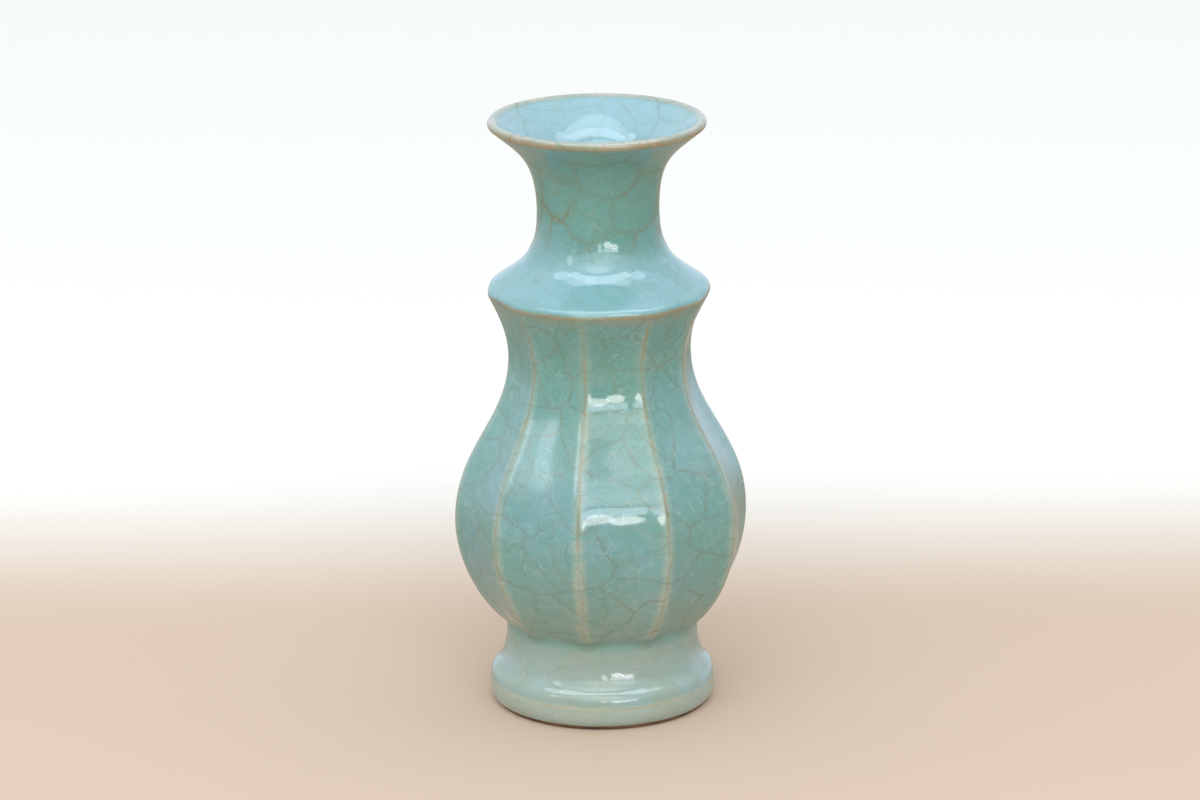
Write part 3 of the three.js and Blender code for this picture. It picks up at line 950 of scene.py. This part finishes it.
def clay_material(name, pale, dark, scale):
    """Bare fired clay, mottled and matt."""
    graph = Graph(name)
    mottle = graph.smooth(graph.noise(scale, MOTTLE_DETAIL), *MOTTLE_SPAN)
    grain = graph.noise(scale * CLAY_GRAIN_FINENESS, CLAY_GRAIN_DETAIL)
    grains = graph.product(graph.smooth(grain, *CLAY_GRAIN_SPAN), CLAY_GRAIN_SHARE)
    tint = graph.mix(grains, graph.mix(mottle, dark, pale), dark)
    facing = graph.bump(grain, CLAY_RELIEF, CLAY_RELIEF_HEIGHT)
    return graph.finish(Base_Color=tint, Roughness=CLAY_ROUGHNESS, Normal=facing)


clay = clay_material("bare_clay", CLAY, BURNT_CLAY, CLAY_SCALE)
slip = clay_material("joining_slip", SLIP, CLAY, SLIP_SCALE)

# Clay and slip of the frame that keep their shapes
KEPT_NODES = [
    (clay, ("lower_body", "upper_body", "shoulder", "mouth")),
    (slip, ("foot_slip", "base_slip", "belly_slip", "shoulder_slip", "neck_slip")),
]
for material, names in KEPT_NODES:
    for name in names:
        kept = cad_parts[name]
        kept.data.materials.clear()
        kept.data.materials.append(material)

# The glaze: one skin up the outside, over the lip and down to the floor, closed behind by its back
front = glaze_rows()
back = sunk(front, GLAZE_BACK)
kept_back = [row for index, row in enumerate(back) if index % BACK_STRIDE == 0 and index < len(back) - 1]
kept_back.append(Row(0.0, floor_height - GLAZE_BACK, 0.0, 0.0, front[-1].run, 1.0))
glaze_bm = turned(front[::-1] + kept_back, GLAZE_STEPS, closed=False)
press_flutes(glaze_bm)
piece("celadon_skin", glaze_bm, glaze_material(front), "celadon", "outer_glaze", "inner_glaze")

# Sizes of the foot's clay, and the marks of turning under the foot and the base
FOOT_RIM_WIDTH = 7.5 * MM
FOOT_RIM_INSET = 0.35 * MM
FOOT_SOFT = 0.8 * MM
RECESS_RADIUS = 40.8 * MM
LEDGE_THICKNESS = 6.0 * MM
BASE_LAP = 5.0 * MM
TURNING_MARK = 0.18 * MM
TURNING_STEPS = 24
RECESS_MARKS = 7
BASE_MARKS = 6

# The foot's clay: a turned ring with soft edges, hollow below, and a ledge for the base
foot_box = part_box("foot")
clay_radius = foot_radius - FOOT_EDGE_INSET - FOOT_RIM_INSET
ledge_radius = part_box("base_disc")[1].x - BASE_LAP
ledge_underside = foot_box[1].z - LEDGE_THICKNESS
rim_inner = foot_radius - COAT - FOOT_RIM_WIDTH
recess = []
for step in range(TURNING_STEPS + 1):
    share = step / TURNING_STEPS
    groove = TURNING_MARK * math.cos(share * math.tau * RECESS_MARKS)
    recess.append(Vector((
        rim_inner + (RECESS_RADIUS - rim_inner) * share + groove,
        0.0,
        FOOT_SOFT + (ledge_underside - FOOT_SOFT) * share,
    )))
hidden = Vector((2 * COAT, 0.0, 0.0))
outer_clay = [
    Vector((clay_radius - FOOT_SOFT, 0.0, 0.0)),
    Vector((clay_radius, 0.0, FOOT_SOFT)),
    Vector((clay_radius, 0.0, GLAZE_EDGE)),
]
outer_clay += [point - hidden for point in foot_run if GLAZE_EDGE < point.z < foot_box[1].z]
foot_profile = outer_clay + [
    Vector((outer_clay[-1].x, 0.0, foot_box[1].z)),
    Vector((ledge_radius, 0.0, foot_box[1].z)),
    Vector((ledge_radius, 0.0, ledge_underside)),
] + recess[::-1] + [Vector((rim_inner + FOOT_SOFT, 0.0, 0.0))]
piece("turned_foot", turned(plain(foot_profile), CLAY_STEPS, closed=True), clay, "clay", "foot")

# The base: a disc with turning rings on its underside
base_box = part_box("base_disc")
base_radius = base_box[1].x
base_profile = [Vector((0.0, 0.0, base_box[1].z)), Vector((base_radius, 0.0, base_box[1].z))]
for step in range(TURNING_STEPS, -1, -1):
    share = step / TURNING_STEPS
    groove = TURNING_MARK * (1 - math.cos(share * math.tau * BASE_MARKS)) / 2
    base_profile.append(Vector((base_radius * share, 0.0, base_box[0].z + groove)))
piece("turned_base", turned(plain(base_profile), CLAY_STEPS, closed=False), clay, "clay", "base_disc")

# The camera, as far round, up and away as the photograph's
CAMERA_AZIMUTH = math.radians(-9)
CAMERA_DISTANCE = 2.45
CAMERA_HEIGHT = 0.901
CAMERA_PITCH = math.radians(16.875)
CAMERA_ROLL = math.radians(-0.54)
CAMERA_LENS = 151.5
SENSOR_WIDTH = 36.0
CLIP_END = 50.0


def heading(azimuth):
    """The level direction at an azimuth, counted from the front towards +X."""
    return Vector((math.sin(azimuth), -math.cos(azimuth), 0.0))


camera_data = bpy.data.cameras.new("camera")
camera_data.lens = CAMERA_LENS
camera_data.sensor_width = SENSOR_WIDTH
camera_data.clip_end = CLIP_END
camera = bpy.data.objects.new("camera", camera_data)
camera.matrix_world = (
    Matrix.Translation(heading(CAMERA_AZIMUTH) * CAMERA_DISTANCE + Vector((0.0, 0.0, CAMERA_HEIGHT)))
    @ Matrix.Rotation(CAMERA_AZIMUTH, 4, "Z")
    @ Matrix.Rotation(math.radians(90) - CAMERA_PITCH, 4, "X")
    @ Matrix.Rotation(CAMERA_ROLL, 4, "Z")
)
bpy.context.scene.collection.objects.link(camera)
bpy.context.scene.camera = camera

# A plain pale floor, warm in front and white behind the vase
FLOOR_RADIUS = 8.0
FLOOR_SIDES = 96
FLOOR_NEAR = colour(201, 177, 156)
FLOOR_FAR = colour(234, 229, 222)
FLOOR_SPAN = (0.1, 0.42)
FLOOR_ROUGHNESS = 0.9
floor_bm = bmesh.new()
bmesh.ops.create_circle(floor_bm, cap_ends=True, segments=FLOOR_SIDES, radius=FLOOR_RADIUS)
floor_mesh = bpy.data.meshes.new("floor")
floor_bm.to_mesh(floor_mesh)
floor_bm.free()
floor_graph = Graph("pale_floor")
floor_depth = floor_graph.dot(floor_graph.place, -heading(CAMERA_AZIMUTH))
floor_tint = floor_graph.mix(floor_graph.smooth(floor_depth, *FLOOR_SPAN), FLOOR_NEAR, FLOOR_FAR)
floor_mesh.materials.append(floor_graph.finish(
    Base_Color=floor_tint, Roughness=FLOOR_ROUGHNESS, Specular_IOR_Level=0.0))
floor = bpy.data.objects.new("floor", floor_mesh)
floor.visible_glossy = False
bpy.context.scene.collection.objects.link(floor)

# Light of the surroundings from above, from behind, low from the dark side and the others, and from below
SKY = (1.14, 1.22, 1.30, 1.0)
BEHIND = (0.94, 1.07, 1.24, 1.0)
LOW_FRONT = (0.13, 0.15, 0.13, 1.0)
LOW_SIDE = (0.58, 0.74, 0.92, 1.0)
GROUND = (0.50, 0.43, 0.34, 1.0)
WHITE = (1.0, 1.0, 1.0, 1.0)
DARK_AZIMUTH = CAMERA_AZIMUTH + math.radians(12)

# Where these lights give way to each other, by how far a direction goes to the dark side or up
SIDE_SPAN = (0.7, 0.1)
BEHIND_SPAN = (-0.16, -0.42)
SKY_SPAN = (0.25, 0.5)
GROUND_SPAN = (-0.06, -0.28)


class WorldGraph(Graph):
    """The node tree of the surroundings."""

    def __init__(self, world):
        self.tree = world.node_tree
        self.surface = self.tree.nodes["Background"]
        self.place = self.node("ShaderNodeTexCoord").outputs["Generated"]


# Soft studio surroundings, plain white where the camera sees them
studio = bpy.data.worlds.new("studio")
studio.use_nodes = True
bpy.context.scene.world = studio
studio_graph = WorldGraph(studio)
upward = studio_graph.node("ShaderNodeSeparateXYZ", {0: studio_graph.place}).outputs["Z"]
facing = studio_graph.dot(studio_graph.place, heading(DARK_AZIMUTH))
light = studio_graph.mix(studio_graph.smooth(facing, *SIDE_SPAN), LOW_FRONT, LOW_SIDE)
light = studio_graph.mix(studio_graph.smooth(facing, *BEHIND_SPAN), light, BEHIND)
light = studio_graph.mix(studio_graph.smooth(upward, *SKY_SPAN), light, SKY)
light = studio_graph.mix(studio_graph.smooth(upward, *GROUND_SPAN), light, GROUND)
seen = studio_graph.node("ShaderNodeLightPath").outputs["Is Camera Ray"]
studio_graph.feed(studio_graph.surface.inputs["Color"], studio_graph.mix(seen, light, WHITE))

# Softboxes: name, shape, azimuth, elevation, width and height in degrees, radiance and tone
LAMP_DISTANCE = 2.4
WINDOW_TONE = (1.0, 0.95, 0.97)
COOL_TONE = (0.82, 0.91, 1.0)
SKY_TONE = (0.77, 0.84, 1.0)
GARDEN_TONE = (0.9, 0.98, 0.99)
LAMPS = [
    ("window_left", "ELLIPSE", 1.5, 8.5, 7.0, 7.0, 5.5, WINDOW_TONE),
    ("window_left_top", "ELLIPSE", 2.5, 14.0, 8.5, 6.0, 6.5, SKY_TONE),
    ("window_middle", "ELLIPSE", 16.5, 6.5, 14.0, 8.0, 10.5, WINDOW_TONE),
    ("window_right", "ELLIPSE", 28.5, 8.5, 14.0, 7.0, 8.5, WINDOW_TONE),
    ("window_right_top", "RECTANGLE", 22.0, 13.5, 26.0, 6.0, 6.5, SKY_TONE),
    ("garden_left", "ELLIPSE", -53.0, 30.0, 13.0, 19.0, 1.9, COOL_TONE),
    ("garden_left_core", "ELLIPSE", -54.0, 31.0, 7.0, 13.0, 2.4, COOL_TONE),
    ("garden_middle", "ELLIPSE", 6.0, 27.0, 66.0, 20.0, 1.5, GARDEN_TONE),
    ("garden_middle_core", "ELLIPSE", 14.0, 23.0, 40.0, 9.0, 1.3, COOL_TONE),
    ("garden_high", "ELLIPSE", -6.0, 46.5, 56.0, 22.0, 1.5, GARDEN_TONE),
    ("garden_high_core", "ELLIPSE", -2.0, 48.5, 38.0, 14.0, 1.7, COOL_TONE),
    ("overhead", "RECTANGLE", 2.0, 70.0, 64.0, 15.0, 5.8, SKY_TONE),
    ("overhead_left", "ELLIPSE", -77.0, 53.0, 22.0, 13.0, 4.2, SKY_TONE),
    ("overhead_right", "ELLIPSE", 81.0, 53.0, 20.0, 13.0, 4.0, SKY_TONE),
    ("overhead_zenith", "ELLIPSE", 2.0, 83.0, 62.0, 13.0, 3.1, SKY_TONE),
    ("fill", "RECTANGLE", -24.0, 24.0, 70.0, 34.0, 0.62, GARDEN_TONE),
    ("fill_low", "RECTANGLE", 15.0, 9.0, 26.0, 12.0, 4.0, WINDOW_TONE),
]


def softbox(name, shape, azimuth, elevation, width, tallness, radiance, tone):
    """A lamp that faces the belly; a fill shows in no gloss, a window or an overhead lamp only there."""
    lamp = bpy.data.lights.new(name, "AREA")
    lamp.shape = shape
    lamp.size = 2 * LAMP_DISTANCE * math.tan(math.radians(width / 2))
    lamp.size_y = 2 * LAMP_DISTANCE * math.tan(math.radians(tallness / 2))
    area = lamp.size * lamp.size_y * (math.pi / 4 if shape == "ELLIPSE" else 1.0)
    lamp.energy = radiance * math.pi * area
    lamp.color = tone
    holder = bpy.data.objects.new(name, lamp)
    holder.visible_glossy = not name.startswith("fill")
    holder.visible_diffuse = not name.startswith(("window", "overhead"))
    rise = math.radians(elevation)
    outward = heading(CAMERA_AZIMUTH + math.radians(azimuth)) * math.cos(rise)
    outward.z = math.sin(rise)
    holder.location = outward * LAMP_DISTANCE + Vector((0.0, 0.0, belly_height))
    holder.rotation_euler = outward.to_track_quat("Z", "Y").to_euler()
    bpy.context.scene.collection.objects.link(holder)


for lamp_sizes in LAMPS:
    softbox(*lamp_sizes)

bpy.context.scene.view_settings.view_transform = "Standard"
